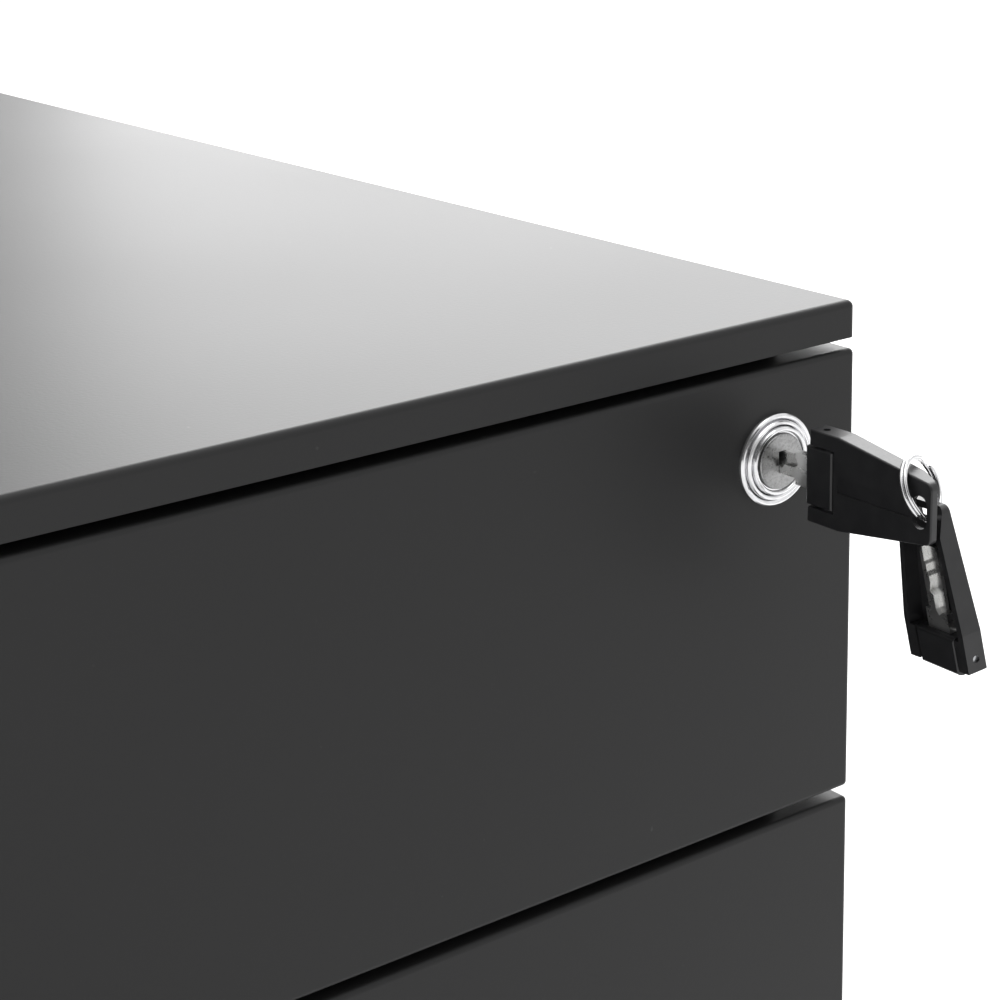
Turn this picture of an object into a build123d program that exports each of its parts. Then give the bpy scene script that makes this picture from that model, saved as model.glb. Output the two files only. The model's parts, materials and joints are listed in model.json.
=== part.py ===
from build123d import *
import os
from math import cos, pi, sin

os.makedirs("parts", exist_ok=True)

# A mobile drawer pedestal. X is to the right, Y to the back, Z up, in millimetres. The origin is on the
# floor, under the middle of the whole object, keys included.

# ---- cabinet ----
WIDTH = 390.0
DEPTH = 580.0
HEIGHT = 600.0
KEY_REACH = 70.1  # how far the hanging key stands out in front of the cabinet
SHEET = 1.0
LIP = 10.4  # depth of the top panel's folded lip
TOP_BEND = 2.0
FRONT_BEND = 1.6
BODY_BOTTOM = 41.0
RIB_X = (-90, 0, 90)  # the back panel's stiffening ribs
RIVET_X = 186.0
RIVET_HEIGHTS = (60.0, 190.0, 320.0, 450.0, 575.0)
FLOOR_PAN = 50.0  # underside of the base panel, where the castor plates bolt on
SHADOW_GAP = 0.7  # between the lip and the skins below it

FRONT = -(DEPTH - KEY_REACH) / 2  # outer face of the drawer fronts
BACK = FRONT + DEPTH
HALF = WIDTH / 2

# ---- drawer fronts: two box drawers over one file drawer ----
TOP_GAP = 3.2
FRONT_GAP = 3.4
BOX_FRONT = 132.9
FILE_FRONT = 269.2
FRONT_DEPTH = 18.0  # depth of a front's folded edge
BOX_TRAY = 85.0
FILE_TRAY = 216.0
TRAY_RAISE = 8.0  # tray bottom above the front's lower edge
TRAY_HALF = 180.2
TRAY_LENGTH = 500.0
HEM = 8.0

# ---- finger channel behind the fronts' side edges ----
CARCASS_FRONT = FRONT + 20.0
CHANNEL_BACK = FRONT + 40.0
CHANNEL_DEPTH = 11.0
CHANNEL_WALL = HALF - CHANNEL_DEPTH
WINDOW_ROOM = 2.3  # clearance of the windows that the slides and catches pass through

# ---- telescopic slides, three members each ----
SLIDE_START = FRONT + 64.0
SLIDE_LENGTH = 450.0
SLIDE_RAISE = 30.0  # slide centre above the tray bottom
SLIDE_SHEET = 1.2
CABINET_HALF = 22.5  # half the heights of the three members
MIDDLE_HALF = 18.2
DRAWER_HALF = 12.2
MIDDLE_X = HALF - 3.0  # outer face of the middle member

# ---- lock ----
LOCK_X = HALF - 30.1
LOCK_Z = HEIGHT - 39.2
ROSETTE_R = 13.0
# the beads' outer and inner radii, foot and crown heights above the front
ROSETTE_BEADS = ((13.0, 11.35, 0.7, 1.7), (11.2, 9.75, 1.3, 2.5), (9.6, 8.2, 2.3, 3.2))
BEAD_STEPS = 6
PLUG_R = 7.75
RUNNING = 0.05  # radial clearance of a shaft that turns in its hole
BARREL_R = 9.5
BARREL_LENGTH = 24.0
PLUG_PROUD = 3.4
KEYWAY = (2.5, 6.1, 13.0)  # width, height, depth behind the front
CAM_THROW = 8.0
PIN_R = 2.0
BAR_FRONT = FRONT + 42.0
BAR_WIDTH = 16.0
BAR_SHEET = 1.2
BAR_X = 192.5  # inner face of the lock bar
GUIDE_HEIGHTS = (230.0, 430.0, 515.0)
FINGER_RAISE = 72.0  # bottom of a finger above its tray's bottom, unlocked
CATCH_RAISE = 62.0  # bottom of a tray's catch above the tray's bottom
CATCH = (8.8, 8.0)  # reach, height

# ---- folding keys: u runs from the hinge end to the ring end, v across, w through the thickness ----
HEAD_LENGTH = 44.8
HEAD_HALF = 12.9
RING_END_HALF = 8.1
HEAD_SHOULDER = 11.6  # where the taper across starts
HEAD_SLANT = 0.9  # how much shorter one side of the hinge end is
HEAD_THICK = 5.9
BEVEL_U = 37.4  # where the open side is bevelled down to the ring end
BEVEL_THICK = 5.05
RING_END_THICK = 2.1
BAND_U = (11.5, 37.5)
BAND_HALF = 2.2
BAND_DEPTH = 0.35
TRAY_FLOOR = 1.4
TRAY_WALL = 2.2
PIN_U = 4.35
NOTCH_HALF = 8.7
BLOCK_HALF = 8.0
BLOCK_REACH = 5.3
BLOCK_SWEEP = 5.5
HINGE_PIN_R = 1.0
SLOT_U = 40.75
SLOT = (4.9, 8.8)
SHANK = (9.2, 5.5)
BLADE = (5.8, 23.0)  # short enough to fold past the other key
BLADE_THICK = 2.2
TRACK_DEPTH = 1.3
# edge of the track milled in the blade's face: distance beyond the shank, and v
TRACK = ((-1.2, -1.0), (0.4, 0.0), (4.2, 0.0), (5.2, 1.4), (7.6, 0.5), (9.4, 0.6), (10.6, 1.1), (12.6, 1.1),
         (13.4, 1.6), (19.0, 1.4))
KEY_1_TIP = 16.2  # from the cabinet's front to the head's hinge end
RING_R = 8.0
RING_WIRE = (1.3, 2.2)  # radial, axial
RING_CENTRE = (2.25, -52.43, 4.34)  # from the lock centre at the front plane
RING_NORMAL = (-0.291, 0.866, -0.407)
KEY_2_HOLE = (5.95, -52.4, -3.6)
KEY_2_UP = (-0.135, 0.127, 0.983)
KEY_2_OPEN = (-0.973, 0.172, -0.157)  # the way its open side faces

# ---- castors ----
CASTOR_X = 150.0
CASTOR_INSET = 62.0
WHEEL_R = 19.0
WHEEL_WIDTH = 17.0
DISH_R = 14.0
DISH_DEPTH = 2.5
HUB_R = 5.5
TRAIL = 18.0
AXLE_R = 3.0
CHEEK = (9.6, 11.6)  # inner and outer faces
CHEEK_SIDE = ((-10, 42), (17, 42), (24.5, 20), (22.5, 14.5), (18, 12.8), (13.5, 14.5), (11.5, 20))
CROWN_R = 19.0
CROWN_BOTTOM = 41.6
CROWN_TOP = 44.0
KINGPIN_R = 4.0
BOSS_BOTTOM = 44.2  # underside of the plate's swivel boss
BRAKE_PIVOT = (16.0, 36.0)  # behind the swivel axis, above the floor
BRAKE_PIN_R = 1.5


def block(x0, x1, y0, y1, z0, z1):
    centre = Pos((x0 + x1) / 2, (y0 + y1) / 2, (z0 + z1) / 2)
    return centre * Box(abs(x1 - x0), abs(y1 - y0), abs(z1 - z0))


def rod(start, direction, radius, length):
    base = (Align.CENTER, Align.CENTER, Align.MIN)
    return Plane(origin=start, z_dir=direction) * Cylinder(radius, length, align=base)


def both_sides(shape):
    return [shape, mirror(shape, about=Plane.YZ)]


def folded_pan(width, length, depth, bend):
    """A sheet pan with its closed face at z = 0, facing up, and bent corners."""
    outer = Pos(0, 0, -depth / 2) * Box(width, length, depth)
    outer = fillet(outer.edges().filter_by(lambda e: e.center().Z > -depth + 0.01), bend)
    inner = Pos(0, 0, -SHEET - depth / 2) * Box(width - 2 * SHEET, length - 2 * SHEET, depth)
    inner = fillet(inner.edges().filter_by(lambda e: e.center().Z > -SHEET - depth + 0.01), bend - SHEET)
    return outer - inner


def save(name, shape):
    solids = shape if isinstance(shape, list) else [shape]
    export_step(Compound(children=solids) if len(solids) > 1 else solids[0], f"parts/{name}.step")


# ---- drawers' places ----
def drawer_rows():
    """Lower edge and height of each front, from the top one down, and its tray's height."""
    upper = HEIGHT - LIP - TOP_GAP
    rows = []
    for height, tray in ((BOX_FRONT, BOX_TRAY), (BOX_FRONT, BOX_TRAY), (FILE_FRONT, FILE_TRAY)):
        rows.append((upper - height, height, tray))
        upper -= height + FRONT_GAP
    return rows


ROWS = drawer_rows()


# ---- carcass ----
def top_panel():
    return Pos(0, (FRONT + BACK) / 2, HEIGHT) * folded_pan(WIDTH, DEPTH, LIP, TOP_BEND)


def side_panel():
    """Right skin, with the finger channel at its front edge and a joggle that fits inside the top's lip."""
    skin_top = HEIGHT - LIP - SHADOW_GAP
    rear = BACK - SHEET
    inside = HALF - TOP_BEND
    panel = block(HALF - SHEET, HALF, CHANNEL_BACK, rear, BODY_BOTTOM, skin_top)
    panel += block(CHANNEL_WALL, HALF, CHANNEL_BACK, CHANNEL_BACK + SHEET, BODY_BOTTOM, skin_top)
    wall = CHANNEL_WALL - SHEET
    panel += block(wall, CHANNEL_WALL, CARCASS_FRONT, CHANNEL_BACK + SHEET, BODY_BOTTOM, skin_top)
    panel += block(HALF - 17, HALF - SHEET, rear - SHEET, rear, BODY_BOTTOM, skin_top)
    panel += block(HALF - 19, HALF - SHEET, CHANNEL_BACK + SHEET, rear, BODY_BOTTOM, BODY_BOTTOM + SHEET)
    panel += block(inside - SHEET, HALF, CHANNEL_BACK, rear - 2, skin_top - SHEET, skin_top)
    panel += block(inside - SHEET, inside, CHANNEL_BACK, rear - 2, skin_top - SHEET, HEIGHT - SHEET)
    panel += block(HALF - 21, inside, CHANNEL_BACK, rear - 2, HEIGHT - 2 * SHEET, HEIGHT - SHEET)
    for low, _, _ in ROWS:
        # the slides and the catch come forward through windows in the channel
        bottom = low + TRAY_RAISE
        slide, reach = bottom + SLIDE_RAISE, MIDDLE_HALF + WINDOW_ROOM
        panel -= channel_window(MIDDLE_X + 1, slide - reach, slide + reach)
        catch = bottom + CATCH_RAISE
        catch_top = catch + CATCH[1]
        panel -= channel_window(TRAY_HALF + CATCH[0] + 1, catch - WINDOW_ROOM, catch_top + WINDOW_ROOM)
    return panel


def channel_window(outer_x, low, high):
    inner_x = CHANNEL_WALL - SHEET - 1
    return block(inner_x, outer_x, CARCASS_FRONT - 1, CHANNEL_BACK + SHEET + 1, low, high)


def back_panel():
    top = HEIGHT - LIP - SHADOW_GAP
    inside = BACK - TOP_BEND
    panel = block(SHEET - HALF, HALF - SHEET, BACK - SHEET, BACK, BODY_BOTTOM + SHEET, top)
    panel += block(-170, 170, inside - SHEET, BACK, top - SHEET, top)
    panel += block(-170, 170, inside - SHEET, inside, top - SHEET, HEIGHT - SHEET)
    for x in RIB_X:
        # pressed ribs, standing into the cabinet
        panel += block(x - 12, x + 12, BACK - SHEET - 1.2, BACK - SHEET, 110, 520)
    return panel


def base_panel():
    rear = BACK - 2 * SHEET
    panel = block(SHEET - HALF, HALF - SHEET, CHANNEL_BACK + SHEET, rear, FLOOR_PAN, FLOOR_PAN + SHEET)
    tongue = CHANNEL_WALL - SHEET
    panel += block(-tongue, tongue, CARCASS_FRONT, CHANNEL_BACK + SHEET, FLOOR_PAN, FLOOR_PAN + SHEET)
    panel += block(-tongue, tongue, CARCASS_FRONT, CARCASS_FRONT + SHEET, BODY_BOTTOM, FLOOR_PAN)
    for x, y in castor_places():
        for dx, dy in SCREW_SPOTS:
            panel -= rod((x + dx, y + dy, FLOOR_PAN - 1), (0, 0, 1), 2.1, 5)
    return panel


def front_top_rail():
    reach = CHANNEL_WALL - SHEET
    low = HEIGHT - 23
    rail = block(-reach, reach, CARCASS_FRONT, CARCASS_FRONT + SHEET, low, HEIGHT - SHEET)
    rail += block(-reach, reach, CARCASS_FRONT, CHANNEL_BACK, low, low + SHEET)
    rail += block(-reach, reach, CARCASS_FRONT, CHANNEL_BACK, HEIGHT - 2 * SHEET, HEIGHT - SHEET)
    return rail


def back_rivets():
    heads = []
    for x, z in [(x, z) for x in (-RIVET_X, RIVET_X) for z in RIVET_HEIGHTS]:
        head = rod((x, BACK, z), (0, 1, 0), 3.2, 1.0)
        heads.append(fillet(head.edges().group_by(Axis.Y)[-1], 0.8))
    return heads


# ---- slides ----
def channel(web_x, tip_x, half_height, z, shift=0.0):
    """One slide member: a C section lying along Y, its web at web_x and its flanges reaching to tip_x."""
    start, end = SLIDE_START + shift, SLIDE_START + SLIDE_LENGTH - shift
    inward = 1 if tip_x > web_x else -1
    member = block(web_x, web_x + inward * SLIDE_SHEET, start, end, z - half_height, z + half_height)
    for side in (-1, 1):
        edge = z + side * half_height
        member += block(web_x, tip_x, start, end, edge, edge - side * SLIDE_SHEET)
    return member


def slide_set(z):
    cabinet = channel(HALF - SHEET, HALF - 10.5, CABINET_HALF, z)
    middle = channel(MIDDLE_X, CHANNEL_WALL, MIDDLE_HALF, z, shift=2.0)
    drawer = channel(TRAY_HALF, TRAY_HALF + 9.6, DRAWER_HALF, z)
    return both_sides(cabinet), both_sides(middle), both_sides(drawer)


# ---- drawers ----
def drawer_front(low, height, with_lock):
    pan = Rot(90, 0, 0) * folded_pan(WIDTH, height, FRONT_DEPTH, FRONT_BEND)
    pan = Pos(0, FRONT, low + height / 2) * pan
    if with_lock:
        pan -= rod((LOCK_X, FRONT - 1, LOCK_Z), (0, 1, 0), BARREL_R, 4)
    return pan


def drawer_liner(low, height, with_lock):
    reach = HALF - SHEET
    face = FRONT + FRONT_DEPTH - SHEET
    liner = block(-reach, reach, face, face + SHEET, low + SHEET, low + height - SHEET)
    liner = fillet(liner.edges().filter_by(Axis.Y), FRONT_BEND - SHEET)
    if with_lock:
        liner -= rod((LOCK_X, face - 1, LOCK_Z), (0, 1, 0), BARREL_R, 4)
    return liner


def drawer_tray(low, tray):
    """A folded box with hemmed sides and, on its right side, the catch that the lock bar's finger holds."""
    bottom = low + TRAY_RAISE
    near = FRONT + FRONT_DEPTH
    far = near + TRAY_LENGTH
    top = bottom + tray
    box = block(-TRAY_HALF, TRAY_HALF, near, far, bottom, top)
    inner = TRAY_HALF - SHEET
    box -= block(-inner, inner, near + SHEET, far - SHEET, bottom + SHEET, top + 1)
    for hem in both_sides(block(inner - SHEET, inner, near + SHEET, far - SHEET, top - HEM, top)):
        box += hem
    catch = bottom + CATCH_RAISE
    box += block(TRAY_HALF, TRAY_HALF + CATCH[0], FRONT + 47, FRONT + 50, catch, catch + CATCH[1])
    return box


def hanging_rails(low):
    near = FRONT + FRONT_DEPTH + SHEET
    top = low + TRAY_RAISE + FILE_TRAY
    rail = block(166.5, 168, near, near + TRAY_LENGTH - 2 * SHEET, top - 16, top - 2)
    rail += block(168, TRAY_HALF - 2 * SHEET, near, near + 2, top - 16, top - 10)
    return both_sides(rail)


# ---- lock ----
def bead(outer, inner, foot, crown):
    """Half an ellipse standing on a foot height: points of radius and height, from outside in."""
    middle, half = (outer + inner) / 2, (outer - inner) / 2
    angles = [pi * step / BEAD_STEPS for step in range(BEAD_STEPS + 1)]
    return [(middle + half * cos(a), foot + (crown - foot) * sin(a)) for a in angles]


def lock_rosette():
    """A ring of three beads, stepping up towards the plug, turned about the lock axis."""
    bore = PLUG_R + 0.15
    steps = [(bore, 0), (ROSETTE_R, 0)]
    for outer, inner, foot, crown in ROSETTE_BEADS:
        steps += bead(outer, inner, foot, crown)
    steps.append((bore, ROSETTE_BEADS[-1][2]))
    profile = make_face(Polyline([(r, 0, h) for r, h in steps], close=True))
    ring = revolve(profile, axis=Axis.Z)
    return Plane(origin=(LOCK_X, FRONT, LOCK_Z), z_dir=(0, -1, 0)) * ring


def lock_barrel():
    bore = PLUG_R + RUNNING
    barrel = rod((LOCK_X, FRONT, LOCK_Z), (0, 1, 0), BARREL_R, BARREL_LENGTH)
    return barrel - rod((LOCK_X, FRONT - 1, LOCK_Z), (0, 1, 0), bore, BARREL_LENGTH + 2)


def lock_nut():
    nut = extrude(RegularPolygon(12.4, 6), 3)
    nut = Plane(origin=(LOCK_X, FRONT + SHEET, LOCK_Z), z_dir=(0, 1, 0)) * nut
    return nut - rod((LOCK_X, FRONT, LOCK_Z), (0, 1, 0), BARREL_R, 8)


def lock_plug():
    width, height, depth = KEYWAY
    plug = rod((LOCK_X, FRONT - PLUG_PROUD, LOCK_Z), (0, 1, 0), PLUG_R, PLUG_PROUD + BARREL_LENGTH + 0.3)
    plug = fillet(plug.edges().group_by(Axis.Y)[0], 0.5)
    return plug - block(
        LOCK_X - width / 2, LOCK_X + width / 2, FRONT - PLUG_PROUD - 1, FRONT + depth,
        LOCK_Z - height / 2, LOCK_Z + height / 2,
    )


def lock_cam():
    start = FRONT + BARREL_LENGTH + 0.3
    offset = CAM_THROW * cos(pi / 4)
    cam = rod((LOCK_X, start, LOCK_Z), (0, 1, 0), 11.0, 2.0)
    return cam + rod((LOCK_X + offset, start + 2.0, LOCK_Z + offset), (0, 1, 0), PIN_R, 19.7)


def lock_bar():
    """A flat bar on the right wall. Its top tab is driven by the cam pin; a finger serves each drawer."""
    offset = CAM_THROW * cos(pi / 4)
    slot_z = LOCK_Z + offset
    lowest = ROWS[-1][0] + TRAY_RAISE + FINGER_RAISE - 8
    bar = block(BAR_X, BAR_X + BAR_SHEET, BAR_FRONT, BAR_FRONT + BAR_WIDTH, lowest, slot_z + 6)
    bar += block(LOCK_X + 0.6, BAR_X, BAR_FRONT, BAR_FRONT + 1.5, slot_z - 6, slot_z + 6)
    slot_half = PIN_R + 0.5
    bar -= block(
        LOCK_X + offset - slot_half, LOCK_X + CAM_THROW + slot_half, BAR_FRONT - 1, BAR_FRONT + 3,
        slot_z - slot_half, slot_z + slot_half,
    )
    for low, _, _ in ROWS:
        finger = low + TRAY_RAISE + FINGER_RAISE
        bar += block(TRAY_HALF + 1.8, BAR_X, BAR_FRONT + 2, BAR_FRONT + 4, finger, finger + 12)
    return bar


def lock_bar_guides():
    guides = []
    for z in GUIDE_HEIGHTS:
        guide = block(BAR_X - 1.4, BAR_X - 0.3, BAR_FRONT + 4.5, BAR_FRONT + 19, z - 4, z + 4)
        guide += block(BAR_X - 0.3, HALF - SHEET, BAR_FRONT + 16.6, BAR_FRONT + 19, z - 4, z + 4)
        guides.append(guide)
    return guides


# ---- folding keys ----
def outline(inset, start):
    """The head's outline in u and v, inset by a wall's thickness and starting at a given u."""
    side, end = HEAD_HALF - inset, RING_END_HALF - inset * 0.8
    far = HEAD_LENGTH - inset * 0.8
    near = max(start, HEAD_SLANT)
    points = [(near, -side), (HEAD_SHOULDER, -side), (far, -end)]
    return points + [(far, end), (HEAD_SHOULDER, side), (start, side)]


def prism(points, low, high):
    face = make_face(Polyline([(u, v, 0) for u, v in points], close=True))
    return Pos(0, 0, low) * extrude(face, high - low)


def wedge():
    """The head's side view: flat on the closed side, thinner towards the ring end on the open side."""
    floor, top = -HEAD_THICK / 2, HEAD_THICK / 2
    points = [(-1, floor), (HEAD_LENGTH, floor), (HEAD_LENGTH, floor + RING_END_THICK)]
    points += [(BEVEL_U, floor + BEVEL_THICK), (HEAD_SHOULDER, top), (-1, top)]
    face = make_face(Polyline([(u, 0, w) for u, w in points], close=True))
    return extrude(face, 2 * HEAD_HALF, both=True)


def key_head():
    half = HEAD_THICK / 2
    head = prism(outline(0, 0), -half, half) & wedge()
    ends = head.edges().filter_by(Axis.Z).group_by(Axis.X)
    head = fillet(ends[-1], 2.2)
    head = fillet(head.edges().group_by(Axis.Z)[0], 0.5)
    notch_end = PIN_U + BLOCK_SWEEP + 0.1
    head -= block(-1, notch_end, -NOTCH_HALF, NOTCH_HALF, -half - 1, half + 1)
    hollow = prism(outline(TRAY_WALL, notch_end - 0.5), TRAY_FLOOR - half, half + 1)
    head -= hollow & block(notch_end - 0.5, HEAD_LENGTH, -HEAD_HALF, HEAD_HALF, -half, half + 1)
    slot = block(SLOT_U - SLOT[0] / 2, SLOT_U + SLOT[0] / 2, -SLOT[1] / 2, SLOT[1] / 2, -half - 1, 0)
    head -= fillet(slot.edges().filter_by(Axis.Z), SLOT[0] / 2 - 0.1)
    # shallow blank band along the closed face
    head -= block(*BAND_U, -BAND_HALF, BAND_HALF, -half - 1, -half + BAND_DEPTH)
    return head - rod((PIN_U, -HEAD_HALF - 1, 0), (0, 1, 0), HINGE_PIN_R, 2 * HEAD_HALF + 2)


def hinge_pin():
    reach = HEAD_HALF - 0.8
    return rod((PIN_U, -reach, 0), (0, 1, 0), HINGE_PIN_R, 2 * reach)


def hinge_block():
    half = HEAD_THICK / 2
    shape = block(PIN_U - BLOCK_REACH, PIN_U + BLOCK_REACH, -BLOCK_HALF, BLOCK_HALF, -half, half)
    shape &= rod((PIN_U, -BLOCK_HALF, 0), (0, 1, 0), BLOCK_SWEEP, 2 * BLOCK_HALF)
    shape = chamfer(shape.faces().sort_by(Axis.Z)[0].edges(), 0.3)
    return shape - rod((PIN_U, -BLOCK_HALF - 1, 0), (0, 1, 0), HINGE_PIN_R + RUNNING, 2 * BLOCK_HALF + 2)


def key_blade():
    """A flat blade with a wide shank at the block and a wavy track milled in one face."""
    start = PIN_U - BLOCK_REACH
    half, length = BLADE[0] / 2, BLADE[1]
    shank_half, edge = SHANK[0] / 2, start - SHANK[1]
    tip = start - length
    points = [(start, -shank_half), (edge, -shank_half), (edge, -half), (tip + 1.6, -half)]
    points += [(tip, 0.9 - half), (tip, half - 0.9), (tip + 1.6, half), (edge, half)]
    points += [(edge, shank_half), (start, shank_half)]
    floor = -BLADE_THICK / 2
    blade = prism(points, floor, BLADE_THICK / 2)
    track = [(edge - beyond, v) for beyond, v in TRACK]
    track += [(edge - TRACK[-1][0], -half - 1), (edge, -half - 1), (edge, -half)]
    return blade - prism(track, floor - 1, floor + TRACK_DEPTH)


def folded(shape):
    """Turned half a turn about the hinge pin, so that the blade lies in the head's hollow."""
    return Pos(PIN_U, 0, 0) * Rot(0, 180, 0) * Pos(-PIN_U, 0, 0) * shape


def from_lock(offset):
    return Vector(LOCK_X, FRONT, LOCK_Z) + Vector(*offset)


def key_1_frame():
    return Plane(origin=from_lock((0, -KEY_1_TIP, 0)), x_dir=(0, -1, 0), z_dir=(1, 0, 0))


def key_2_frame():
    up = Vector(*KEY_2_UP).normalized()
    out = Vector(*KEY_2_OPEN)
    out = (out - up * out.dot(up)).normalized()
    floor = HEAD_THICK / 2 - TRAY_FLOOR / 2
    corner = from_lock(KEY_2_HOLE) - up * SLOT_U + out * floor
    return Plane(origin=corner, x_dir=up, z_dir=out)


def key_ring():
    radial, axial = RING_WIRE
    ring = Cylinder(RING_R + radial / 2, axial) - Cylinder(RING_R - radial / 2, axial)
    ring = fillet(ring.edges(), 0.3)
    return Plane(origin=from_lock(RING_CENTRE), z_dir=RING_NORMAL) * ring


# ---- castors ----
SCREW_SPOTS = [(dx, dy) for dx in (-16.5, 16.5) for dy in (-16.5, 16.5)]


def castor_places():
    near, far = FRONT + CASTOR_INSET, BACK - CASTOR_INSET
    return [(-CASTOR_X, near), (CASTOR_X, near), (-CASTOR_X, far), (CASTOR_X, far)]


def castor_plate():
    plate = block(-21, 21, -21, 21, FLOOR_PAN - 2, FLOOR_PAN)
    plate = fillet(plate.edges().filter_by(Axis.Z), 3)
    plate += rod((0, 0, BOSS_BOTTOM), (0, 0, 1), 14, FLOOR_PAN - 2 - BOSS_BOTTOM)
    plate -= rod((0, 0, 40), (0, 0, 1), KINGPIN_R + RUNNING, FLOOR_PAN - 40.6)
    for dx, dy in SCREW_SPOTS:
        plate -= rod((dx, dy, FLOOR_PAN - 3), (0, 0, 1), 2.1, 5)
    return plate


def castor_screw(x, y):
    head = fillet(rod((x, y, FLOOR_PAN - 4), (0, 0, 1), 3.5, 2).edges().group_by(Axis.Z)[0], 0.9)
    return head + rod((x, y, FLOOR_PAN - 2), (0, 0, 1), 2.0, 3.5)


def castor_fork(back, braked):
    """Crown, kingpin and two cheeks that carry the axle behind the swivel axis."""
    fork = rod((0, 0, CROWN_BOTTOM), (0, 0, 1), CROWN_R, CROWN_TOP - CROWN_BOTTOM)
    fork += rod((0, 0, CROWN_TOP), (0, 0, 1), KINGPIN_R, 5)
    face = make_face(Polyline([(0, back * y, z) for y, z in CHEEK_SIDE], close=True))
    cheek = extrude(face, CHEEK[1] - CHEEK[0], dir=(1, 0, 0))
    for cheek in both_sides(Pos(CHEEK[0], 0, 0) * cheek):
        fork += cheek
    fork -= rod((-20, back * TRAIL, WHEEL_R), (1, 0, 0), AXLE_R, 40)
    if braked:
        fork -= rod((-20, back * BRAKE_PIVOT[0], BRAKE_PIVOT[1]), (1, 0, 0), BRAKE_PIN_R + RUNNING, 40)
    return fork


def castor_wheel(back):
    """Tread and hub in one moulding, dished on both sides."""
    half = WHEEL_WIDTH / 2
    wheel = Rot(0, 90, 0) * Cylinder(WHEEL_R, WHEEL_WIDTH)
    wheel = fillet(wheel.edges(), 2.0)
    for side in (-1, 1):
        face = (side * half, 0, 0)
        inward = (-side, 0, 0)
        wheel -= rod(face, inward, DISH_R, DISH_DEPTH) - rod(face, inward, HUB_R, DISH_DEPTH)
    wheel -= rod((-half - 1, 0, 0), (1, 0, 0), AXLE_R + RUNNING, WHEEL_WIDTH + 2)
    return Pos(0, back * TRAIL, WHEEL_R) * wheel


def castor_axle(back):
    axle = rod((-12.4, back * TRAIL, WHEEL_R), (1, 0, 0), AXLE_R, 24.8)
    for side in (-1, 1):
        head = rod((side * CHEEK[1], back * TRAIL, WHEEL_R), (side, 0, 0), 4.6, 1.8)
        axle += fillet(head.edges().sort_by(lambda e: abs(e.center().X))[-1:], 0.7)
    return axle


def brake_lever(back):
    """Two ears outside the cheeks and a pedal over the tread."""
    y, z = BRAKE_PIVOT
    lever = block(-13.3, 13.3, back * 27, back * 42, 38.7, 40.5)
    lever = fillet(lever.edges().filter_by(Axis.Z).sort_by(lambda e: abs(e.center().Y))[-2:], 3)
    for side in (-1, 1):
        lever += block(side * 11.8, side * 13.3, back * 12, back * 30, 33, 40.5)
        lever += rod((side * 9.7, back * y, z), (side, 0, 0), BRAKE_PIN_R, 3.6)
    return lever


# ---- write every piece ----
def save_carcass():
    save("top_panel", top_panel())
    right, left = both_sides(side_panel())
    save("right_side_panel", right)
    save("left_side_panel", left)
    save("back_panel", back_panel())
    save("base_panel", base_panel())
    save("front_top_rail", front_top_rail())
    save("back_rivets", back_rivets())


def save_drawers():
    for number, (low, height, tray) in enumerate(ROWS, start=1):
        with_lock = number == 1
        save(f"drawer_{number}_front", drawer_front(low, height, with_lock))
        save(f"drawer_{number}_liner", drawer_liner(low, height, with_lock))
        save(f"drawer_{number}_tray", drawer_tray(low, tray))
        cabinet, middle, drawer = slide_set(low + TRAY_RAISE + SLIDE_RAISE)
        save(f"cabinet_slides_{number}", cabinet)
        save(f"middle_slides_{number}", middle)
        save(f"drawer_slides_{number}", drawer)
    save("hanging_rails", hanging_rails(ROWS[-1][0]))


def save_lock():
    save("lock_rosette", lock_rosette())
    save("lock_barrel", lock_barrel())
    save("lock_nut", lock_nut())
    save("lock_plug", lock_plug())
    save("lock_cam", lock_cam())
    save("lock_bar", lock_bar())
    save("lock_bar_guides", lock_bar_guides())


def save_keys():
    for number, frame in ((1, key_1_frame()), (2, key_2_frame())):
        turn = folded if number == 2 else lambda shape: shape
        save(f"key_{number}_head", frame * key_head())
        save(f"key_{number}_pin", frame * hinge_pin())
        save(f"key_{number}_block", frame * turn(hinge_block()))
        save(f"key_{number}_blade", frame * turn(key_blade()))
    save("key_ring", key_ring())


def save_castors():
    plates, screws = [], []
    for number, (x, y) in enumerate(castor_places(), start=1):
        front = y < (FRONT + BACK) / 2
        back = -1 if front else 1
        place = Pos(x, y, 0)
        plates.append(place * castor_plate())
        screws += [castor_screw(x + dx, y + dy) for dx, dy in SCREW_SPOTS]
        save(f"castor_fork_{number}", place * castor_fork(back, front))
        save(f"castor_wheel_{number}", place * castor_wheel(back))
        save(f"castor_axle_{number}", place * castor_axle(back))
        if front:
            save(f"brake_lever_{number}", place * brake_lever(back))
    save("castor_plates", plates)
    save("castor_screws", screws)


save_carcass()
save_drawers()
save_lock()
save_keys()
save_castors()
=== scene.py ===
import json
from math import cos, pi, radians, sin
import bpy
from mathutils import Matrix, Vector


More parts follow.
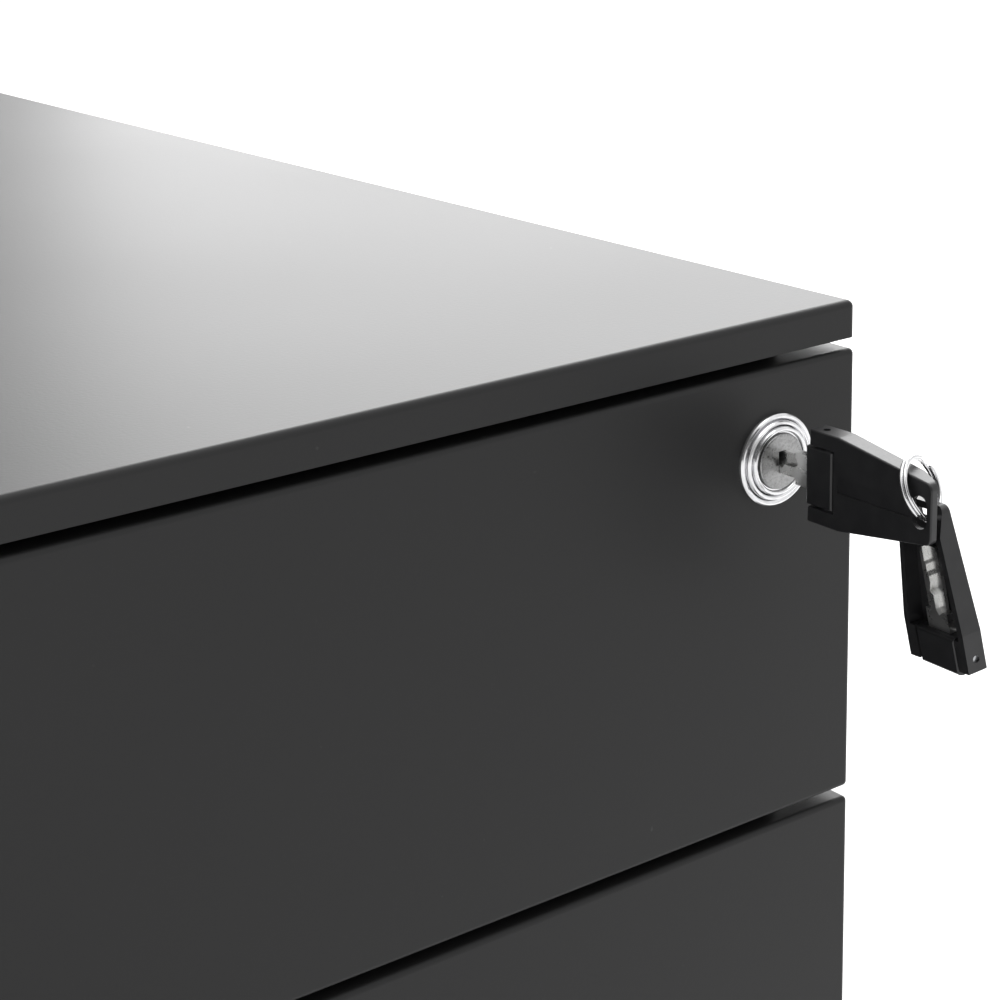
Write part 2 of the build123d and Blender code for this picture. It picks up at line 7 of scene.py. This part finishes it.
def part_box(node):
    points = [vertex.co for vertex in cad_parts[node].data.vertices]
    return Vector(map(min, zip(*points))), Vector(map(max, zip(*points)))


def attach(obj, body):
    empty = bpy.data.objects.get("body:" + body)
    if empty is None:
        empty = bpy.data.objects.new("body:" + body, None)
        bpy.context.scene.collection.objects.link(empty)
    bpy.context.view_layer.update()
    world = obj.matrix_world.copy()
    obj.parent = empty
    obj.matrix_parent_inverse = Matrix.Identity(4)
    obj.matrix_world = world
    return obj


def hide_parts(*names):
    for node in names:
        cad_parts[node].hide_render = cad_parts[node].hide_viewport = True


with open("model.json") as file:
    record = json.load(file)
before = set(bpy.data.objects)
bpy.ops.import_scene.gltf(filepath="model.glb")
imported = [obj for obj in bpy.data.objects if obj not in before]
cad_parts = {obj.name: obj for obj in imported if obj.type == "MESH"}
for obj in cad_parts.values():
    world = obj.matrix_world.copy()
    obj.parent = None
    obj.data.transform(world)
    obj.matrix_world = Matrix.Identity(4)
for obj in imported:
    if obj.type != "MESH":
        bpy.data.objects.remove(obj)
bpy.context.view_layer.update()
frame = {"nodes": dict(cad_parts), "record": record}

# ---- places, all taken from the frame ----
TOP_LOW, TOP_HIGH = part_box("top_panel")
CORNER = Vector((TOP_HIGH.x, TOP_LOW.y, TOP_HIGH.z))  # the top's right front corner
RING_LOW, RING_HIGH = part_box("key_ring")
RING_CENTRE = (RING_LOW + RING_HIGH) / 2

# ---- camera: where it stands from that corner, and how it is turned ----
CAMERA_OFFSET = Vector((-0.4265, -0.4312, 0.1492))
CAMERA_AZIMUTH = 35.27  # degrees from +Y towards +X
CAMERA_TILT = 18.76  # degrees below the horizon
CAMERA_ROLL = -2.106
LENS = 81.0
SENSOR = 36.0

# ---- split ring ----
RING_NORMAL = (-0.291, 0.866, -0.407)
RING_RADIUS = 0.0080
RING_START = 150.0  # degrees round the ring to the wire's first end
RING_CROSSING = 35.0  # degrees over which the wire steps across
RING_TURNS = 2
STEPS_A_TURN = 96
WIRE_WIDTH = 0.00104
WIRE_THICK = 0.0012
WIRE_SIDES = 12
WIRE_ROUND = 0.7  # 1 is an ellipse, less is squarer
END_SIZE = 0.55  # the wire's ends, against its full size
END_STEPS = 6  # the wire grows by a sixth of its full size at each step from an end

# ---- studio ----
FLOOR_SIZE = 40.0
FLOOR_WHITE = 0.86
WORLD_STRENGTH = 1.0
DIM_SIDE = (-0.547, -0.773, 0.30)  # towards the dim side of the room
DIM_EDGES = (0.70, 0.90)  # cosines at which the room starts and ends dimming
DIM_STRENGTH = 0.15
WALL_PLACE = (2.95, 2.3, 2.3)
WALL_TARGET = (0.0, 0.0, 0.6)
WALL_SIZE = (4.2, 3.2)
WALL_STRENGTH = 4.3  # radiance
CEILING_STRENGTH = 1.1
CEILING_ANGLE = 50.0


# ======== helpers ========
def node_material(name):
    """A new material, its node tree and its main shader node."""
    material = bpy.data.materials.new(name)
    material.use_nodes = True
    tree = material.node_tree
    return material, tree, tree.nodes["Principled BSDF"]


def coordinates(tree):
    return tree.nodes.new("ShaderNodeTexCoord").outputs["Object"]


def noise(tree, scale, detail=2.0, roughness=0.5):
    """Noise in the object's own metres, from 0 to 1."""
    node = tree.nodes.new("ShaderNodeTexNoise")
    node.inputs["Scale"].default_value = scale
    node.inputs["Detail"].default_value = detail
    node.inputs["Roughness"].default_value = roughness
    tree.links.new(coordinates(tree), node.inputs["Vector"])
    return node.outputs["Fac"]


def spread(tree, value, from_low, from_high, to_low, to_high):
    """value, mapped from one range to another and kept inside it."""
    node = tree.nodes.new("ShaderNodeMapRange")
    node.inputs["From Min"].default_value = from_low
    node.inputs["From Max"].default_value = from_high
    node.inputs["To Min"].default_value = to_low
    node.inputs["To Max"].default_value = to_high
    tree.links.new(value, node.inputs["Value"])
    return node.outputs["Result"]


def bump(tree, shader, height, strength, distance):
    node = tree.nodes.new("ShaderNodeBump")
    node.inputs["Strength"].default_value = strength
    node.inputs["Distance"].default_value = distance
    tree.links.new(height, node.inputs["Height"])
    tree.links.new(node.outputs["Normal"], shader.inputs["Normal"])


def ramp(tree, value, stops):
    """A colour for value, from stops of (place, colour)."""
    node = tree.nodes.new("ShaderNodeValToRGB")
    elements = node.color_ramp.elements
    while len(elements) < len(stops):
        elements.new(0.5)
    for element, (place, colour) in zip(elements, stops):
        element.position = place
        element.color = (*colour, 1.0)
    tree.links.new(value, node.inputs["Fac"])
    return node.outputs["Color"]


def link(thing):
    bpy.context.scene.collection.objects.link(thing)


def mesh_object(name, vertices, faces, smooth=False):
    mesh = bpy.data.meshes.new(name)
    mesh.from_pydata(vertices, [], faces)
    for face in mesh.polygons:
        face.use_smooth = smooth
    thing = bpy.data.objects.new(name, mesh)
    link(thing)
    return thing


# ======== materials ========
def powder_coat():
    """Satin black powder coat: a fine even texture, and a few pale specks of dust."""
    material, tree, shader = node_material("powder_coat")
    grain = noise(tree, 900.0, 3.0)
    cloud = noise(tree, 3.0, 2.0)
    base = ramp(tree, cloud, [(0.3, (0.024, 0.024, 0.0243)), (0.7, (0.027, 0.027, 0.0273))])
    specks = spread(tree, noise(tree, 260.0, 1.0), 0.80, 0.86, 0.0, 1.0)
    mix = tree.nodes.new("ShaderNodeMix")
    mix.data_type = "RGBA"
    mix.inputs["B"].default_value = (0.06, 0.06, 0.06, 1.0)
    tree.links.new(specks, mix.inputs["Factor"])
    tree.links.new(base, mix.inputs["A"])
    tree.links.new(mix.outputs["Result"], shader.inputs["Base Color"])
    tree.links.new(spread(tree, cloud, 0.2, 0.8, 0.36, 0.42), shader.inputs["Roughness"])
    shader.inputs["Specular IOR Level"].default_value = 0.15
    bump(tree, shader, grain, 0.12, 0.0002)
    return material


def zinc_steel():
    """Zinc-plated steel with faint cloudy patches, for slides, forks, screws and the inner lock."""
    material, tree, shader = node_material("zinc_steel")
    cloud = noise(tree, 60.0, 4.0)
    base = ramp(tree, cloud, [(0.35, (0.42, 0.43, 0.45)), (0.65, (0.60, 0.61, 0.62))])
    tree.links.new(base, shader.inputs["Base Color"])
    tree.links.new(spread(tree, cloud, 0.2, 0.8, 0.26, 0.42), shader.inputs["Roughness"])
    shader.inputs["Metallic"].default_value = 1.0
    bump(tree, shader, noise(tree, 1500.0), 0.08, 0.0001)
    return material


def chrome():
    """Polished chrome, very slightly uneven."""
    material, tree, shader = node_material("chrome")
    cloud = noise(tree, 350.0, 3.0)
    base = ramp(tree, cloud, [(0.3, (0.70, 0.70, 0.71)), (0.7, (0.82, 0.82, 0.83))])
    tree.links.new(base, shader.inputs["Base Color"])
    tree.links.new(spread(tree, cloud, 0.2, 0.8, 0.10, 0.20), shader.inputs["Roughness"])
    shader.inputs["Metallic"].default_value = 1.0
    bump(tree, shader, noise(tree, 2500.0), 0.05, 0.0001)
    return material


def key_steel():
    """Bright nickel plate, a little cloudy."""
    material, tree, shader = node_material("key_steel")
    cloud = noise(tree, 220.0, 3.0)
    base = ramp(tree, cloud, [(0.3, (0.62, 0.62, 0.61)), (0.7, (0.76, 0.76, 0.75))])
    tree.links.new(base, shader.inputs["Base Color"])
    tree.links.new(spread(tree, cloud, 0.2, 0.8, 0.22, 0.34), shader.inputs["Roughness"])
    shader.inputs["Metallic"].default_value = 1.0
    bump(tree, shader, noise(tree, 1800.0), 0.03, 0.00005)
    return material


def satin_face():
    """The plug's face: ground flat, so it is duller and darker than the chrome rings round it."""
    material, tree, shader = node_material("satin_face")
    grain = noise(tree, 1500.0, 2.0, 0.5)
    base = ramp(tree, grain, [(0.35, (0.25, 0.25, 0.25)), (0.65, (0.33, 0.33, 0.33))])
    tree.links.new(base, shader.inputs["Base Color"])
    tree.links.new(spread(tree, grain, 0.2, 0.8, 0.24, 0.36), shader.inputs["Roughness"])
    shader.inputs["Metallic"].default_value = 1.0
    bump(tree, shader, grain, 0.03, 0.00003)
    return material


def key_plastic():
    """The keys' black moulded heads and hinge blocks, finely grained."""
    material, tree, shader = node_material("key_plastic")
    grain = noise(tree, 2600.0, 3.0, 0.7)
    cloud = noise(tree, 200.0)
    base = ramp(tree, cloud, [(0.3, (0.010, 0.010, 0.011)), (0.7, (0.016, 0.016, 0.017))])
    tree.links.new(base, shader.inputs["Base Color"])
    tree.links.new(spread(tree, grain, 0.2, 0.8, 0.30, 0.42), shader.inputs["Roughness"])
    bump(tree, shader, grain, 0.22, 0.0001)
    return material


def castor_plastic():
    """The wheels' and levers' black plastic."""
    material, tree, shader = node_material("castor_plastic")
    grain = noise(tree, 1400.0, 3.0)
    cloud = noise(tree, 90.0, 3.0)
    base = ramp(tree, cloud, [(0.3, (0.014, 0.014, 0.014)), (0.7, (0.024, 0.023, 0.022))])
    tree.links.new(base, shader.inputs["Base Color"])
    tree.links.new(spread(tree, grain, 0.2, 0.8, 0.38, 0.58), shader.inputs["Roughness"])
    bump(tree, shader, grain, 0.2, 0.0002)
    return material


def paint(piece, material):
    piece.data.materials.clear()
    piece.data.materials.append(material)


def paint_nodes():
    """Every CAD node takes the material of its slot in the record, and the lock plug a ground face."""
    makers = (powder_coat, zinc_steel, chrome, key_steel, key_plastic, castor_plastic)
    made = {maker.__name__: maker() for maker in makers}
    slots = {part["node"]: part["material_slot"] for part in frame["record"]["subparts"]}
    for name, node in frame["nodes"].items():
        paint(node, made[slots[name]])
    paint(frame["nodes"]["lock_plug"], satin_face())
    return made


# ======== pieces ========
def sideways(share):
    """How far the wire has stepped across, from 0 to 1, after that share of turns."""
    start = 1.0 - radians(RING_CROSSING) / (2 * pi)
    if share <= start:
        return 0.0
    if share >= 1.0:
        return 1.0
    blend = (share - start) / (1.0 - start)
    return blend * blend * (3 - 2 * blend)


def rounded(value):
    """A sine or cosine bent towards a square's, for the flattened wire's section."""
    return abs(value) ** WIRE_ROUND * (1 if value > 0 else -1)


def split_ring():
    """A key ring wound twice from flattened wire; the turns lie side by side and cross over once."""
    away = Vector(RING_NORMAL).normalized()
    across = Vector((0.0, 0.0, 1.0)).cross(away).normalized()
    upward = away.cross(across)
    total = RING_TURNS * STEPS_A_TURN
    vertices, faces = [], []
    for step in range(total + 1):
        share = step / total * RING_TURNS
        angle = radians(RING_START) + share * 2 * pi
        outward = across * cos(angle) + upward * sin(angle)
        shift = (sideways(share) - 0.5) * WIRE_WIDTH
        middle = RING_CENTRE + outward * RING_RADIUS + away * shift
        from_end = min(step, total - step)
        size = min(1.0, END_SIZE + from_end / END_STEPS)
        for side in range(WIRE_SIDES):
            turn = 2 * pi * side / WIRE_SIDES
            wide = rounded(cos(turn)) * WIRE_WIDTH / 2 * size
            thick = rounded(sin(turn)) * WIRE_THICK / 2 * size
            vertices.append(middle + away * wide + outward * thick)
    for step in range(total):
        for side in range(WIRE_SIDES):
            a = step * WIRE_SIDES + side
            b = step * WIRE_SIDES + (side + 1) % WIRE_SIDES
            faces.append((a, b, b + WIRE_SIDES, a + WIRE_SIDES))
    faces.append(tuple(reversed(range(WIRE_SIDES))))
    faces.append(tuple(total * WIRE_SIDES + side for side in range(WIRE_SIDES)))
    return mesh_object("split_ring", vertices, faces, smooth=True)


# ======== studio ========
def make_camera():
    camera = bpy.data.objects.new("camera", bpy.data.cameras.new("camera"))
    link(camera)
    camera.data.lens = LENS
    camera.data.sensor_width = SENSOR
    camera.data.clip_start = 0.01
    camera.data.clip_end = 100.0
    azimuth, tilt, roll = radians(CAMERA_AZIMUTH), radians(CAMERA_TILT), radians(CAMERA_ROLL)
    ahead = Vector((sin(azimuth) * cos(tilt), cos(azimuth) * cos(tilt), -sin(tilt)))
    level = Vector((cos(azimuth), -sin(azimuth), 0.0))
    upright = level.cross(ahead)
    right = level * cos(roll) + upright * sin(roll)
    up = right.cross(ahead)
    turn = Matrix((right, up, -ahead)).transposed()
    camera.matrix_world = Matrix.Translation(CORNER + CAMERA_OFFSET) @ turn.to_4x4()
    bpy.context.scene.camera = camera


def make_floor():
    half = FLOOR_SIZE / 2
    corners = [(-half, -half, 0), (half, -half, 0), (half, half, 0), (-half, half, 0)]
    floor = mesh_object("floor", corners, [(0, 1, 2, 3)])
    material, _, shader = node_material("floor_white")
    shader.inputs["Base Color"].default_value = (FLOOR_WHITE, FLOOR_WHITE, FLOOR_WHITE, 1.0)
    shader.inputs["Roughness"].default_value = 0.9
    shader.inputs["Specular IOR Level"].default_value = 0.1
    floor.data.materials.append(material)


def make_world():
    """White all round, but for the dim side of the room behind the camera."""
    world = bpy.data.worlds.new("studio")
    bpy.context.scene.world = world
    world.use_nodes = True
    tree = world.node_tree
    background = tree.nodes["Background"]
    background.inputs["Color"].default_value = (1.0, 1.0, 1.0, 1.0)
    facing = tree.nodes.new("ShaderNodeVectorMath")
    facing.operation = "DOT_PRODUCT"
    facing.inputs[1].default_value = Vector(DIM_SIDE).normalized()
    tree.links.new(tree.nodes.new("ShaderNodeTexCoord").outputs["Generated"], facing.inputs[0])
    strength = spread(tree, facing.outputs["Value"], *DIM_EDGES, WORLD_STRENGTH, DIM_STRENGTH)
    tree.links.new(strength, background.inputs["Strength"])


def make_wall():
    """The big soft light that the top reflects."""
    data = bpy.data.lights.new("wall", "AREA")
    data.shape = "RECTANGLE"
    data.size, data.size_y = WALL_SIZE
    data.energy = WALL_STRENGTH * data.size * data.size_y * pi
    wall = bpy.data.objects.new("wall", data)
    link(wall)
    wall.location = WALL_PLACE
    facing = Vector(WALL_TARGET) - Vector(WALL_PLACE)
    wall.rotation_euler = facing.to_track_quat("-Z", "Y").to_euler()
    wall.visible_camera = False


def make_ceiling():
    """Soft light from straight above, which keeps the floor white."""
    ceiling = bpy.data.objects.new("ceiling", bpy.data.lights.new("ceiling", "SUN"))
    link(ceiling)
    ceiling.data.energy = CEILING_STRENGTH
    ceiling.data.angle = radians(CEILING_ANGLE)


def plain_view():
    view = bpy.context.scene.view_settings
    view.view_transform = "Standard"
    view.look = "None"


finishes = paint_nodes()

ring = split_ring()
paint(ring, finishes["chrome"])
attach(ring, "key_ring")
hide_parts("key_ring")

make_camera()
make_floor()
make_world()
make_wall()
make_ceiling()
plain_view()
